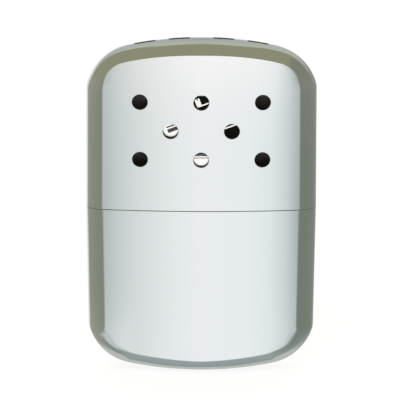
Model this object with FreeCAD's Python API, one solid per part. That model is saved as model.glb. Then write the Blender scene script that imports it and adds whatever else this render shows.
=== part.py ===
import FreeCAD, Part
import math
import os

# Catalytic pocket hand warmer: a chromed lid with vent holes slides up off a chromed fuel tank.
# The tank holds cotton wadding, a felt wick and an oblong filler neck, and the catalytic burner
# is pushed over that neck. Millimetres. X is the width, the front faces -Y and Z points up.
# The origin is at the middle of the case's foot.

# Case, outside
case_width = 67.0
case_height = 100.4
case_depth = 14.5
seam_height = 50.5
case_wall = 0.6
foot_flat = 0.2            # how much of the arched bottom is flattened where the case stands

# Outline of the case, seen from the front
side_draft = 0.5           # degrees that each side leans in, away from the seam
shoulder_turn = 17.0       # degrees that the outline turns where a side meets its corner
shoulder_radius = 6.0
corner_radius = 15.6
end_radius = 101.0

# Edge of the case, seen in section
rim_half_depth = 3.3       # half the crowned band that runs round the edge
rim_crown_radius = 8.0
roll_width = 4.3           # from the outline in to the crease round each panel
roll_radius = 12.0
panel_crown = 1.95         # how far a panel's middle stands out past its crease
core_inset = 5.6           # from the outline in to where the roll stops, inside the panel

# Vents in the lid
vent_diameter = 4.45
vent_height = 74.4         # middle row
vent_column_pitch = 17.6
vent_row_pitch = 8.5
vent_lip_wall = 0.4
vent_lip_depth = 1.5       # from the panel's face in to the lip's edge
slot_length = 6.2
slot_width = 1.6
slot_inner_place = 6.3
slot_outer_place = 16.2

# Collar that the lid slides on, and the deck that closes the tank
collar_wall = 0.5
collar_rise = 8.0          # above the seam
collar_grip = 6.0          # below the seam
lid_clearance = 0.15
deck_thickness = 0.7
deck_drop = 0.3            # below the collar's edge

# Filler neck
neck_length = 26.6
neck_breadth = 8.0
neck_wall = 0.4
neck_rise = 4.8            # above the deck
neck_tail = 1.2            # below the deck
flange_width = 1.2
flange_thickness = 0.5
strainer_thickness = 0.5
strainer_hole = 1.6
strainer_pitch = 3.0

# Wadding and wick
wadding_gap = 0.3
wadding_seam = 0.3
wadding_top_gap = 0.4      # below the collar's lower edge
core_half_depth = 2.2
wick_length = 22.0
wick_breadth = 5.6

# Burner
skirt_clearance = 0.08
skirt_wall = 0.5
burner_shoulder = 7.0      # from the skirt's foot up to its shoulder's top
shoulder_thickness = 0.5
shoulder_ledge = 2.4       # how far the shoulder reaches in from the skirt's outside
cage_width = 26.0
cage_breadth = 7.4
cage_height = 18.8
cage_corner = 1.3
guard_wall = 0.4
guard_gap = 0.4            # between the two guards, at each side
guard_margin = 1.0         # plain strip between the air inlet and the guards' windows
guard_rim = 0.4            # plain edge above the windows
rib_slant = 21.0           # degrees that the guards' windows rise towards the right
window_rise = 9.8          # from the shoulder's top up to the point that the windows turn about
rib_thickness = 0.4
inlet_width = 18.0
inlet_height = 1.4
plate_thickness = 0.4
plate_hole = 1.2
plate_pitch = 2.4
clip_height = 12.0
clip_breadth = 3.6
clip_thickness = 0.3
cap_slot_length = 18.0
cap_slot_width = 2.0
mat_gap = 0.3
mat_rise = 2.2             # above the vapour plate, over the air inlets
mat_layer_gap = 0.3
rivet_place = 11.0
rivet_radius = 0.45
rivet_head_radius = 0.8
rivet_head_height = 0.35

# Windows of a guard, in a frame turned by rib_slant about a point window_rise above the
# shoulder: (left, right, low, high). A rib crosses the first two. The five after the third
# lie round a hooked finger with a notched tip, which holds the mat back.
slanted_windows = (
    (-9.7, 0.0, 1.05, 3.0),
    (3.4, 10.4, -7.3, -2.5),
    (-8.4, -1.6, -3.6, -0.7),
    (-5.6, 0.75, 3.9, 9.4),
    (0.0, 5.4, 3.9, 5.05),
    (2.2, 6.6, 5.45, 9.4),
    (0.0, 3.0, 7.6, 9.4),
    (1.4, 1.7, 7.1, 8.0),
)
rib_places = (2.38, -3.47)

X_AXIS = FreeCAD.Vector(1, 0, 0)
Y_AXIS = FreeCAD.Vector(0, 1, 0)
Z_AXIS = FreeCAD.Vector(0, 0, 1)
ORIGIN = FreeCAD.Vector(0, 0, 0)
OVERCUT = 1.0              # how far a cutting shape runs past what it cuts

crease_half_depth = case_depth / 2 - panel_crown
lid_rise = case_height - seam_height
tank_rise = seam_height + foot_flat
collar_top = seam_height + collar_rise
deck_top = collar_top - deck_drop
skirt_foot = deck_top + flange_thickness
shoulder_top = skirt_foot + burner_shoulder
cage_top = shoulder_top + cage_height
neck_top = deck_top + neck_rise


def vector(x, y, z):
    return FreeCAD.Vector(x, y, z)


def box(low, high):
    """Box between two corners."""
    size = high - low
    return Part.makeBox(size.x, size.y, size.z, low)


# Shape of the case ------------------------------------------------------------------------


def section_circles(inset):
    """Rim and roll circles of the case's edge, each (distance in, half-depth, radius), set in."""
    rim_top_in = rim_crown_radius - math.sqrt(rim_crown_radius**2 - rim_half_depth**2)
    run = roll_width - rim_top_in
    rise = crease_half_depth - rim_half_depth
    chord = math.hypot(run, rise)
    height = math.sqrt(roll_radius**2 - chord**2 / 4)
    roll_in = rim_top_in + run / 2 + height * rise / chord
    roll_depth = rim_half_depth + rise / 2 - height * run / chord
    rim = (rim_crown_radius, 0.0, rim_crown_radius - inset)
    roll = (roll_in, roll_depth, roll_radius - inset)
    return rim, roll


def outer_crossing(first, second):
    """Where two section circles cross, on the side of the case's edge."""
    dx = second[0] - first[0]
    dy = second[1] - first[1]
    apart = math.hypot(dx, dy)
    along = (first[2]**2 - second[2]**2 + apart**2) / (2 * apart)
    aside = math.sqrt(first[2]**2 - along**2)
    points = [
        (first[0] + (along * dx + sign * aside * dy) / apart,
         first[1] + (along * dy - sign * aside * dx) / apart)
        for sign in (-1, 1)
    ]
    return min(points)


def on_circle(circle, distance_in):
    """Half-depth of a section circle's upper side at a distance in."""
    return circle[1] + math.sqrt(circle[2]**2 - (circle[0] - distance_in)**2)


def edge_section(inset):
    """Open wire across the case's edge, front to back. Its x is the distance in, its y the depth."""
    rim, roll = section_circles(inset)
    corner = outer_crossing(rim, roll)
    middle = ((corner[0] + core_inset) / 2, 0)
    middle = (middle[0], on_circle(roll, middle[0]))
    inner = (core_inset, on_circle(roll, core_inset))
    cap = case_depth / 2 + OVERCUT
    edges = [Part.makeLine(vector(core_inset, -cap, 0), vector(inner[0], -inner[1], 0))]
    edges.append(arc((inner[0], -inner[1]), (middle[0], -middle[1]), (corner[0], -corner[1])))
    edges.append(arc((corner[0], -corner[1]), (inset, 0), corner))
    edges.append(arc(corner, middle, inner))
    edges.append(Part.makeLine(vector(inner[0], inner[1], 0), vector(core_inset, cap, 0)))
    return Part.Wire(edges)


def arc(start, middle, end):
    """Arc through three points of a section."""
    points = [vector(point[0], point[1], 0) for point in (start, middle, end)]
    return Part.Arc(*points).toShape()


def outline(rise):
    """Side length and arcs of a half case's right edge, for a seam at z = 0.

    Each arc is (centre, radius, first angle, last angle), in radians from +X towards +Z.
    """
    lean = math.radians(side_draft)
    turned = lean + math.radians(shoulder_turn)
    half = case_width / 2
    step = shoulder_radius - corner_radius
    across = half - shoulder_radius * math.cos(lean) + step * math.cos(turned)
    up = step * math.sin(turned) - shoulder_radius * math.sin(lean)
    reach = end_radius - corner_radius
    drop = up - (rise - end_radius)
    share = drop * math.cos(lean) - across * math.sin(lean)
    side = math.sqrt(share**2 - across**2 - drop**2 + reach**2) - share
    shoulder = vector(half, 0, 0) + ray(math.pi / 2 + lean) * side - ray(lean) * shoulder_radius
    corner = shoulder + ray(turned) * step
    end = vector(0, 0, rise - end_radius)
    last = math.atan2(corner.z - end.z, corner.x - end.x)
    arcs = (
        (shoulder, shoulder_radius, lean, turned),
        (corner, corner_radius, turned, last),
        (end, end_radius, last, math.pi - last),
    )
    return side, arcs


def ray(angle):
    """Unit vector in the case's front plane."""
    return vector(math.cos(angle), 0, math.sin(angle))


def placed_section(section, point, angle):
    """The edge section moved to a point of the outline, facing in against the outward angle."""
    matrix = FreeCAD.Matrix()
    inward = ray(angle) * -1
    matrix.A11, matrix.A21, matrix.A31 = inward.x, inward.y, inward.z
    matrix.A12, matrix.A22, matrix.A32 = 0, 1, 0
    up = inward.cross(Y_AXIS)
    matrix.A13, matrix.A23, matrix.A33 = up.x, up.y, up.z
    matrix.A14, matrix.A24, matrix.A34 = point.x, point.y, point.z
    placed = section.copy()
    placed.transformShape(matrix)
    return placed


def mirrored(shape, normal):
    """Mirror image through the origin."""
    return shape.mirror(ORIGIN, normal)


def cap_face(side, arcs, depth):
    """Flat face inside the edge sections, at one depth."""
    half = case_width / 2
    lean = arcs[0][2]
    start = vector(half, 0, 0) - ray(math.pi / 2 + lean) * OVERCUT - ray(lean) * core_inset
    right = []
    for centre, radius, first, last in arcs[:2]:
        right.append((centre + ray(first) * (radius - core_inset),
                      centre + ray((first + last) / 2) * (radius - core_inset),
                      centre + ray(last) * (radius - core_inset)))
    edges = []
    for flip in (1, -1):
        previous = start
        for first, middle, last in right:
            points = [vector(flip * p.x, depth, p.z) for p in (previous, first, middle, last)]
            if (points[1] - points[0]).Length > 1e-6:
                edges.append(Part.makeLine(points[0], points[1]))
            edges.append(Part.Arc(points[1], points[2], points[3]).toShape())
            previous = last
    top = vector(0, depth, arcs[2][0].z + end_radius - core_inset)
    last = right[-1][2]
    edges.append(Part.Arc(vector(last.x, depth, last.z), top, vector(-last.x, depth, last.z)).toShape())
    edges.append(Part.makeLine(vector(start.x, depth, start.z), vector(-start.x, depth, start.z)))
    return Part.Face(Part.Wire(Part.__sortEdges__(edges)))


def edged_slab(rise, inset):
    """Half case with its rounded edge and flat faces that stand proud of the panels."""
    section = edge_section(inset)
    side, arcs = outline(rise)
    lean = arcs[0][2]
    along = ray(math.pi / 2 + lean)
    start = vector(case_width / 2, 0, 0) - along * OVERCUT
    first = placed_section(section, start, lean)
    right = [first.extrude(along * (side + OVERCUT))]
    for centre, radius, begin, end in arcs[:2]:
        placed = placed_section(section, centre + ray(begin) * radius, begin)
        right.append(placed.revolve(centre, Y_AXIS * -1, math.degrees(end - begin)))
    cap = case_depth / 2 + OVERCUT
    inner = start - ray(lean) * core_inset
    chord = Part.makeLine(vector(inner.x, -cap, inner.z), vector(inner.x, cap, inner.z))
    right.append(Part.Face(Part.Wire(Part.__sortEdges__(first.Edges + [chord]))))
    shells = right + [mirrored(shape, X_AXIS) for shape in right]
    centre, radius, begin, end = arcs[2]
    placed = placed_section(section, centre + ray(begin) * radius, begin)
    shells.append(placed.revolve(centre, Y_AXIS * -1, math.degrees(end - begin)))
    foot = [vector(x, y, inner.z) for x, y in
            ((inner.x, -cap), (inner.x, cap), (-inner.x, cap), (-inner.x, -cap), (inner.x, -cap))]
    shells.append(Part.Face(Part.makePolygon(foot)))
    shells += [cap_face(side, arcs, depth) for depth in (-cap, cap)]
    faces = [face for shape in shells for face in shape.Faces]
    shell = Part.Shell(faces)
    shell.sewShape()
    return Part.Solid(Part.Shell(shell.Faces))


def panel_block(rise, inset):
    """Everything behind the front panel's crowned face, as one block.

    The crown falls off with the square of the distance across and the fourth power of the
    distance up, so it meets the crease at nearly one depth all round. That is exactly one
    Bezier patch, of degree 2 by 4.
    """
    half_width = case_width / 2 - roll_width
    height = rise - roll_width
    far = case_width / 2 + OVERCUT
    low = -OVERCUT
    high = rise + OVERCUT
    edge = (far / half_width)**2
    across = (1 - edge, 1 + edge, 1 - edge)
    patch = Part.BezierSurface()
    patch.increase(2, 4)
    for i in range(3):
        for j in range(5):
            upward = 1 - (high / height)**j * (low / height)**(4 - j)
            depth = crease_half_depth + panel_crown * across[i] * upward - inset
            place = vector((i - 1) * far, -depth, low + (high - low) * j / 4)
            patch.setPole(i + 1, j + 1, place)
    return patch.toShape().extrude(Y_AXIS * 2 * case_depth)


def half_case(rise, inset=0.0):
    """Solid half case, from the seam at z = 0 up to the rise, set in all over."""
    solid = edged_slab(rise, inset)
    block = panel_block(rise, inset)
    solid = solid.common(block).common(mirrored(block, Y_AXIS))
    above_seam = box(vector(-case_width, -case_depth, 0), vector(case_width, case_depth, 2 * rise))
    return solid.common(above_seam)


def lid_form(inset=0.0):
    """Solid lid, in place."""
    return half_case(lid_rise, inset).translated(Z_AXIS * seam_height)


def tank_form(inset=0.0):
    """Solid tank, in place, without the flat of its foot."""
    return mirrored(half_case(tank_rise, inset), Z_AXIS).translated(Z_AXIS * seam_height)


def slice_between(shape, low, high):
    """The part of a shape between two heights."""
    reach = case_width
    return shape.common(box(vector(-reach, -reach, low), vector(reach, reach, high)))


# Plain shapes -----------------------------------------------------------------------------


def oblong(length, breadth, low, high):
    """Upright bar with round ends, centred on the Z axis."""
    return rounded_bar(length, breadth, breadth / 2 - 1e-4, low, high)


def rounded_bar(length, breadth, radius, low, high):
    """Upright bar with rounded corners, centred on the Z axis."""
    bar = box(vector(-length / 2, -breadth / 2, low), vector(length / 2, breadth / 2, high))
    corners = [edge for edge in bar.Edges if edge.BoundBox.ZLength > (high - low) / 2
               and edge.BoundBox.XLength < 1e-6 and edge.BoundBox.YLength < 1e-6]
    return bar.makeFillet(radius, corners)


def rod(radius, low, high, x=0.0, y=0.0):
    """Upright round bar."""
    return Part.makeCylinder(radius, high - low, vector(x, y, low))


def row_places(length, pitch):
    """Evenly spaced places along X, centred, that fit in a length."""
    count = int(length / pitch) + 1
    return [(index - (count - 1) / 2) * pitch for index in range(count)]


# Lid --------------------------------------------------------------------------------------


def vent_places():
    """Middle of each vent hole, (x, z): rows of three, two and three."""
    places = []
    for row in (-1, 0, 1):
        columns = (-0.5, 0.5) if row == 0 else (-1, 0, 1)
        for column in columns:
            places.append((column * vent_column_pitch, vent_height + row * vent_row_pitch))
    return places


def front_face_depth(x):
    """Half-depth of the lid's front panel near its middle row, at a place across."""
    return crease_half_depth + panel_crown * (1 - (x / (case_width / 2 - roll_width))**2)


def vent_bar(x, z, radius, depth):
    """Round bar through the front panel that ends a depth behind its face."""
    face = front_face_depth(x)
    return Part.makeCylinder(radius, depth + OVERCUT, vector(x, -face - OVERCUT, z), Y_AXIS)


def lid_shell():
    outside = lid_form()
    shell = outside.cut(lid_form(case_wall))
    for x, z in vent_places():
        lip = vent_bar(x, z, vent_diameter / 2 + vent_lip_wall, vent_lip_depth).common(outside)
        shell = shell.fuse(lip)
    for x, z in vent_places():
        shell = shell.cut(vent_bar(x, z, vent_diameter / 2, vent_lip_depth + OVERCUT))
    for place in (slot_inner_place, slot_outer_place):
        for side in (-1, 1):
            slot = oblong(slot_length, slot_width, case_height - case_depth, case_height + OVERCUT)
            shell = shell.cut(slot.translated(X_AXIS * side * place))
    return shell


# Tank -------------------------------------------------------------------------------------


def tank_shell():
    shell = tank_form().cut(tank_form(case_wall))
    return slice_between(shell, 0, seam_height)


def tank_collar():
    above = slice_between(lid_form(case_wall + lid_clearance), seam_height, collar_top)
    below = slice_between(tank_form(case_wall), seam_height - collar_grip, seam_height)
    hollow_inset = case_wall + lid_clearance + collar_wall
    hollow = lid_form(hollow_inset).fuse(tank_form(hollow_inset))
    return above.fuse(below).cut(hollow)


def tank_deck():
    deck = lid_form(case_wall + lid_clearance + collar_wall)
    deck = slice_between(deck, deck_top - deck_thickness, deck_top)
    return deck.cut(oblong(neck_length, neck_breadth, seam_height, collar_top))


def filler_neck():
    low = deck_top - deck_thickness - neck_tail
    neck = oblong(neck_length, neck_breadth, low, neck_top)
    flange = oblong(neck_length + 2 * flange_width, neck_breadth + 2 * flange_width,
                    deck_top, deck_top + flange_thickness)
    bore = oblong(neck_length - 2 * neck_wall, neck_breadth - 2 * neck_wall,
                  low - OVERCUT, neck_top + OVERCUT)
    return neck.fuse(flange).cut(bore)


def neck_strainer():
    high = deck_top - deck_thickness
    length = neck_length - 2 * neck_wall
    breadth = neck_breadth - 2 * neck_wall
    plate = oblong(length, breadth, high - strainer_thickness, high)
    for x in row_places(length - breadth, strainer_pitch):
        for y in (-strainer_pitch / 2, 0, strainer_pitch / 2):
            shift = strainer_pitch / 2 if y == 0 else 0
            plate = plate.cut(rod(strainer_hole / 2, high - 2 * OVERCUT, high + OVERCUT, x + shift, y))
    return plate


def wadding_top():
    """Height at which the cotton stops, under the collar."""
    return seam_height - collar_grip - wadding_top_gap


def wick_felt():
    high = deck_top - deck_thickness - strainer_thickness
    return rounded_bar(wick_length, wick_breadth, wick_breadth / 4, wadding_top(), high)


def wadding(low_y, high_y):
    """Cotton that fills the tank between two depths."""
    form = tank_form(case_wall + wadding_gap)
    reach = case_width
    layer = box(vector(-reach, low_y, -OVERCUT), vector(reach, high_y, wadding_top()))
    return form.common(layer)


def cotton_front():
    return wadding(-case_depth, -core_half_depth - wadding_seam)


def cotton_core():
    return wadding(-core_half_depth, core_half_depth)


def cotton_rear():
    return wadding(core_half_depth + wadding_seam, case_depth)


# Burner -----------------------------------------------------------------------------------


def skirt_size(inset):
    """Length and breadth of the skirt, set in from its outside."""
    grow = 2 * (skirt_clearance + skirt_wall - inset)
    return neck_length + grow, neck_breadth + grow


def burner_skirt():
    skirt = oblong(*skirt_size(0), skirt_foot, shoulder_top)
    bore = oblong(*skirt_size(skirt_wall), skirt_foot - OVERCUT, shoulder_top - shoulder_thickness)
    mouth = oblong(*skirt_size(shoulder_ledge), skirt_foot, shoulder_top + OVERCUT)
    skirt = skirt.cut(bore).cut(mouth)
    return skirt.cut(rivet_shanks())


def vapour_plate():
    length = cage_width - 2 * guard_wall
    breadth = cage_breadth - 2 * guard_wall
    high = shoulder_top + plate_thickness
    plate = rounded_bar(length, breadth, cage_corner - guard_wall, shoulder_top, high)
    for x in row_places(2 * rivet_place - 2 * plate_pitch, plate_pitch):
        for y in (-plate_pitch / 2, plate_pitch / 2):
            plate = plate.cut(rod(plate_hole / 2, shoulder_top - OVERCUT, high + OVERCUT, x, y))
    return plate.cut(rivet_shanks())


def rivet_shanks():
    low = shoulder_top - shoulder_thickness
    high = shoulder_top + plate_thickness
    return Part.makeCompound([rod(rivet_radius, low, high, side * rivet_place) for side in (-1, 1)])


def base_rivets():
    low = shoulder_top - shoulder_thickness
    high = shoulder_top + plate_thickness
    rivets = []
    for side in (-1, 1):
        x = side * rivet_place
        shank = rod(rivet_radius, low, high, x)
        head = rod(rivet_head_radius, high, high + rivet_head_height, x)
        rivets.append(shank.fuse(head).removeSplitter())
    return Part.makeCompound(rivets)


def slanted_bar(left, right, low, high):
    """Bar along Y over a rectangle of the windows' turned frame."""
    bar = box(vector(left, -case_depth, low), vector(right, 0, high))
    bar = bar.rotated(ORIGIN, Y_AXIS, -rib_slant)
    return bar.translated(Z_AXIS * (shoulder_top + window_rise))


def guard_windows():
    """What is cut out of a guard's face: slanted windows with their ribs left, and the air inlet."""
    windows = slanted_bar(*slanted_windows[0])
    for window in slanted_windows[1:]:
        windows = windows.fuse(slanted_bar(*window))
    for window, place in zip(slanted_windows, rib_places):
        rib = slanted_bar(window[0], window[1], place - rib_thickness / 2, place + rib_thickness / 2)
        windows = windows.cut(rib)
    reach = cage_width / 2 - cage_corner
    low = shoulder_top + plate_thickness
    field = box(vector(-reach, -case_depth, low + inlet_height + guard_margin),
                vector(reach, 0, cage_top - guard_rim))
    inlet = box(vector(-inlet_width / 2, -case_depth, low), vector(inlet_width / 2, 0, low + inlet_height))
    return windows.common(field).fuse(inlet)


def front_guard():
    outside = rounded_bar(cage_width, cage_breadth, cage_corner, shoulder_top, cage_top)
    inside = rounded_bar(cage_width - 2 * guard_wall, cage_breadth - 2 * guard_wall,
                         cage_corner - guard_wall, shoulder_top - OVERCUT, cage_top + OVERCUT)
    front = box(vector(-cage_width, -cage_breadth, 0), vector(cage_width, -guard_gap / 2, 2 * cage_top))
    return outside.cut(inside).common(front).cut(guard_windows())


def rear_guard():
    return front_guard().rotated(ORIGIN, Z_AXIS, 180)


def side_clip(side):
    """Channel that holds the two guards together at one side."""
    middle = shoulder_top + cage_height / 2
    low = middle - clip_height / 2
    high = middle + clip_height / 2
    outer = cage_width / 2 + clip_thickness
    inner = cage_width / 2 - guard_wall - clip_thickness
    plate = box(vector(cage_width / 2, -clip_breadth / 2, low), vector(outer, clip_breadth / 2, high))
    web = box(vector(inner, -guard_gap / 2, low), vector(outer, guard_gap / 2, high))
    back = box(vector(inner, -clip_breadth / 2, low),
               vector(inner + clip_thickness, clip_breadth / 2, high))
    clip = plate.fuse(web).fuse(back).removeSplitter()
    return clip if side > 0 else mirrored(clip, X_AXIS)


def burner_cap():
    length = cage_width - 2 * guard_wall
    breadth = cage_breadth - 2 * guard_wall
    cap = rounded_bar(length, breadth, cage_corner - guard_wall, cage_top - guard_wall, cage_top)
    slot = oblong(cap_slot_length, cap_slot_width, cage_top - OVERCUT, cage_top + OVERCUT)
    return cap.cut(slot)


def catalyst_layer(side):
    """One fold of the catalyst mat, on the front or the rear side."""
    length = cage_width - 2 * (guard_wall + clip_thickness + mat_gap)
    depth = cage_breadth / 2 - guard_wall - mat_gap - mat_layer_gap / 2
    low = shoulder_top + plate_thickness + mat_rise
    high = cage_top - guard_wall - mat_gap
    mat = rounded_bar(length, depth, depth / 3, low, high)
    return mat.translated(Y_AXIS * side * (depth + mat_layer_gap) / 2)


def mat_tray():
    """Perforated rest that carries the mat over the air inlets."""
    length = cage_width - 2 * guard_wall
    breadth = cage_breadth - 2 * guard_wall
    top = shoulder_top + plate_thickness + mat_rise
    tray = rounded_bar(length, breadth, cage_corner - guard_wall, top - plate_thickness, top)
    for x in row_places(2 * rivet_place, plate_pitch):
        for y in (-plate_pitch / 2, plate_pitch / 2):
            tray = tray.cut(rod(plate_hole / 2, top - OVERCUT, top + OVERCUT, x, y))
    return tray


PIECES = {
    "lid_shell": lid_shell,
    "tank_shell": tank_shell,
    "tank_collar": tank_collar,
    "tank_deck": tank_deck,
    "filler_neck": filler_neck,
    "neck_strainer": neck_strainer,
    "wick_felt": wick_felt,
    "cotton_front": cotton_front,
    "cotton_core": cotton_core,
    "cotton_rear": cotton_rear,
    "burner_skirt": burner_skirt,
    "vapour_plate": vapour_plate,
    "base_rivets": base_rivets,
    "front_guard": front_guard,
    "rear_guard": rear_guard,
    "left_clip": lambda: side_clip(-1),
    "right_clip": lambda: side_clip(1),
    "mat_tray": mat_tray,
    "catalyst_front": lambda: catalyst_layer(-1),
    "catalyst_rear": lambda: catalyst_layer(1),
    "burner_cap": burner_cap,
}


def main():
    os.makedirs("parts", exist_ok=True)
    for name, make in PIECES.items():
        shape = make()
        shape.exportStep(os.path.join("parts", name + ".step"))
        bounds = shape.BoundBox
        print("%-16s %d solids %9.2f mm3  valid %s  x %.2f..%.2f y %.2f..%.2f z %.2f..%.2f" % (
            name, len(shape.Solids), shape.Volume, shape.isValid(), bounds.XMin, bounds.XMax,
            bounds.YMin, bounds.YMax, bounds.ZMin, bounds.ZMax))


main()
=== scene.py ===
import math

import bpy
import numpy as np
from mathutils import Matrix, Vector, noise
from mathutils.geometry import delaunay_2d_cdt


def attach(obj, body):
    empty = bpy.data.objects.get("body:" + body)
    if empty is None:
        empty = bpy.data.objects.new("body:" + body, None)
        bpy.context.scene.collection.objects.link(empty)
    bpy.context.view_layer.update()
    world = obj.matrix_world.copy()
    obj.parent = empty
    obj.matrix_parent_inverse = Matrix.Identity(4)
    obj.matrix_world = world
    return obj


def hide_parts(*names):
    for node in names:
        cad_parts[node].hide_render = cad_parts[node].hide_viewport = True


# Looks of the catalytic hand warmer. Sizes are in millimetres, as in the CAD source, and turn
# into metres where a mesh is made. X is the width, the front faces -Y and Z points up.

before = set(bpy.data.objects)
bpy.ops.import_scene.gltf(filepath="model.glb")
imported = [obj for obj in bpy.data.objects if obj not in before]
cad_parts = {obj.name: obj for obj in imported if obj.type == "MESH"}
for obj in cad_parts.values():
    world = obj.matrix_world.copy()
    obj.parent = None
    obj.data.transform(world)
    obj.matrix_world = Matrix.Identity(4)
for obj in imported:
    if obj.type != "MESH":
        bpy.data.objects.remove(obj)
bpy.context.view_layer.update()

MM = 0.001

# Case, as in the CAD source, a few microns smaller so that it stays in the model's box
HALF_WIDTH = 33.494
CASE_HEIGHT = 100.39
SEAM = 50.5
WALL = 0.6
FOOT_FLAT = 0.2
DRAFT = math.radians(0.5)
TURNED = math.radians(17.5)       # draft and shoulder turn
SHOULDER_RADIUS = 6.0
CORNER_RADIUS = 15.6
END_RADIUS = 101.0
RIM_RADIUS = 8.0
RIM_HALF_DEPTH = 3.3
FACE_DEPTH = 7.246                # half-depth of the face in its middle
CREASE_HALF = 28.5                # half-width of the face
FACE_CURVE = 0.00214              # how much it falls per square of the distance from the middle
ROLL_TURN = (math.radians(11.4), math.radians(7.0))   # half the roll-off's turn, side and end
LID_FALL = (0.12, 0.025)          # how much the face falls at its end, and at its corners
TANK_FALL = (0.30, 0.04)
BOW_POWER = 5                     # how late the fall at the end comes
DROOP_REACH = 1.2                 # how far the fall at the corners reaches from the crease
DROOP_TURNS = (17.5, 38, 62, 79)  # directions where it starts, is full, fades and ends
VENT_RADIUS = 2.225
VENT_HEIGHT = 74.4
VENT_COLUMN = 17.6
VENT_ROW = 8.5
LIP_WALL = 0.4
LIP_DEPTH = 1.5
SLOT_LENGTH = 6.2
SLOT_WIDTH = 1.6
SLOT_PLACES = (-16.2, -6.3, 6.3, 16.2)

# Where the roll-off meets the face: (direction of the outline in degrees, inset from it)
LID_CREASE = ((0.5, 4.78), (17.5, 4.75), (30, 4.10), (42, 3.40), (54, 3.15), (64, 3.14),
              (72, 3.32), (79, 3.34), (83, 3.42), (86.5, 3.54), (90, 3.63))
TANK_CREASE = ((0.5, 5.00), (17.5, 4.74), (32, 4.18), (46, 3.95), (60, 4.24), (70, 4.50),
               (79, 4.54), (84, 4.60), (87, 4.53), (90, 4.44))

# Height over which the crease is rounded: (direction of the outline in degrees, height)
LID_BLEND = ((0.5, 0.05), (17.5, 0.05), (40, 0.10), (90, 0.08))
TANK_BLEND = ((0.5, 0.05), (17.5, 0.06), (34, 0.28), (50, 0.40), (76, 0.38), (90, 0.20))

# Small roundings that the CAD model leaves sharp
FILLET = 0.7                      # between the rim and the roll-off
BLEND_REACH = 0.25                # half the width of the crease's strip, beyond the blend's height
SEAM_ROUND = 0.13
SEAM_GAP = 0.045                  # half the gap at the seam
SEAM_ROW = SEAM_ROUND + SEAM_GAP
VENT_ROUND = 0.10
SLOT_ROUND = 0.12
LIP_ROUND = 0.12

# Mesh steps
BAND_INSET = 5.6                  # where the structured band ends and the panel's net starts
SIDE_ROWS = 24
SHOULDER_ROWS = 5
CORNER_ROWS = 28
END_ROWS = 22
PANEL_STEP = 1.25
EDGE_CLEAR = 0.7                  # how near the net comes to its edge, as a share of its step
VENT_POINTS = 72
VENT_RINGS = ((VENT_ROUND, VENT_POINTS), (0.55, VENT_POINTS),
              (0.95, VENT_POINTS // 2), (1.5, VENT_POINTS // 2))   # (distance, points)
VENT_CLEAR = 2.1                  # where the plain net starts round a vent
SLOT_ROW = 1.2                    # half the depth of the net round the slots
SLOT_STEP = 0.4                   # step of that net
SLOT_DEPTHS = (-0.8, -0.4, 0.0, 0.4, 0.8)
SLOT_CLEAR = 0.18                 # how near that net comes to a slot
SLOT_ARC_STEPS = 20
SLOT_SIDE_STEP = 0.6
RIM_ROWS = (0.0, 0.4, 0.8, SLOT_ROW, 1.65, 2.1, 2.5)
FILLET_STEPS = 6
ROLL_STEPS = 8
CREASE_STEPS = 8
INNER_STEPS = 3
ROUND_STEPS = 4                   # of the seam's and the vents' rounding
SLOT_ROUND_STEPS = 3


def add_object(name, data):
    """New object in the scene."""
    obj = bpy.data.objects.new(name, data)
    bpy.context.scene.collection.objects.link(obj)
    return obj


def turn(angle):
    """Unit vector (x, z) at an angle from +X towards +Z."""
    return np.array((math.cos(angle), math.sin(angle)))


def circle(count):
    """Unit vectors (x, z) all round."""
    return [turn(2 * math.pi * i / count) for i in range(count)]


def outline_arcs(rise):
    """Side length, and each arc (centre, radius, first angle, last angle) of the right half."""
    step = SHOULDER_RADIUS - CORNER_RADIUS
    across = HALF_WIDTH - SHOULDER_RADIUS * math.cos(DRAFT) + step * math.cos(TURNED)
    up = step * math.sin(TURNED) - SHOULDER_RADIUS * math.sin(DRAFT)
    reach = END_RADIUS - CORNER_RADIUS
    drop = up - (rise - END_RADIUS)
    share = drop * math.cos(DRAFT) - across * math.sin(DRAFT)
    side = math.sqrt(share**2 - across**2 - drop**2 + reach**2) - share
    shoulder = (np.array((HALF_WIDTH, 0.0)) + side * turn(math.pi / 2 + DRAFT)
                - SHOULDER_RADIUS * turn(DRAFT))
    corner = shoulder + step * turn(TURNED)
    end = np.array((0.0, rise - END_RADIUS))
    last = math.atan2(corner[1] - end[1], corner[0] - end[0])
    return side, ((shoulder, SHOULDER_RADIUS, DRAFT, TURNED),
                  (corner, CORNER_RADIUS, TURNED, last),
                  (end, END_RADIUS, last, math.pi / 2))


def stations(rise):
    """Places along the outline, from the right end of the seam over the top to its left end.

    Each is (point, step in per unit of inset, outward normal), and the last item says which
    of them lie on the end's arc.
    """
    side, arcs = outline_arcs(rise)
    sin, cos, tan = math.sin(DRAFT), math.cos(DRAFT), math.tan(DRAFT)
    right = []
    for row in range(SIDE_ROWS):
        share = row / SIDE_ROWS
        height = SEAM_ROW + share * (side * cos - SEAM_ROW)
        right.append((np.array((HALF_WIDTH - height * tan, height)),
                      np.array((-1 / cos + share * sin * tan, -share * sin)), turn(DRAFT)))
    for (centre, radius, first, last), rows in zip(arcs, (SHOULDER_ROWS, CORNER_ROWS, END_ROWS)):
        first_end = len(right)
        for row in range(rows):
            out = turn(first + (last - first) * row / rows)
            right.append((centre + radius * out, -out, out))
    out = turn(math.pi / 2)
    top = (arcs[2][0] + END_RADIUS * out, -out, out)
    flip = np.array((-1.0, 1.0))
    left = [tuple(part * flip for part in station) for station in reversed(right)]
    return right + [top] + left, (first_end, 2 * len(right) - first_end)


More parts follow.
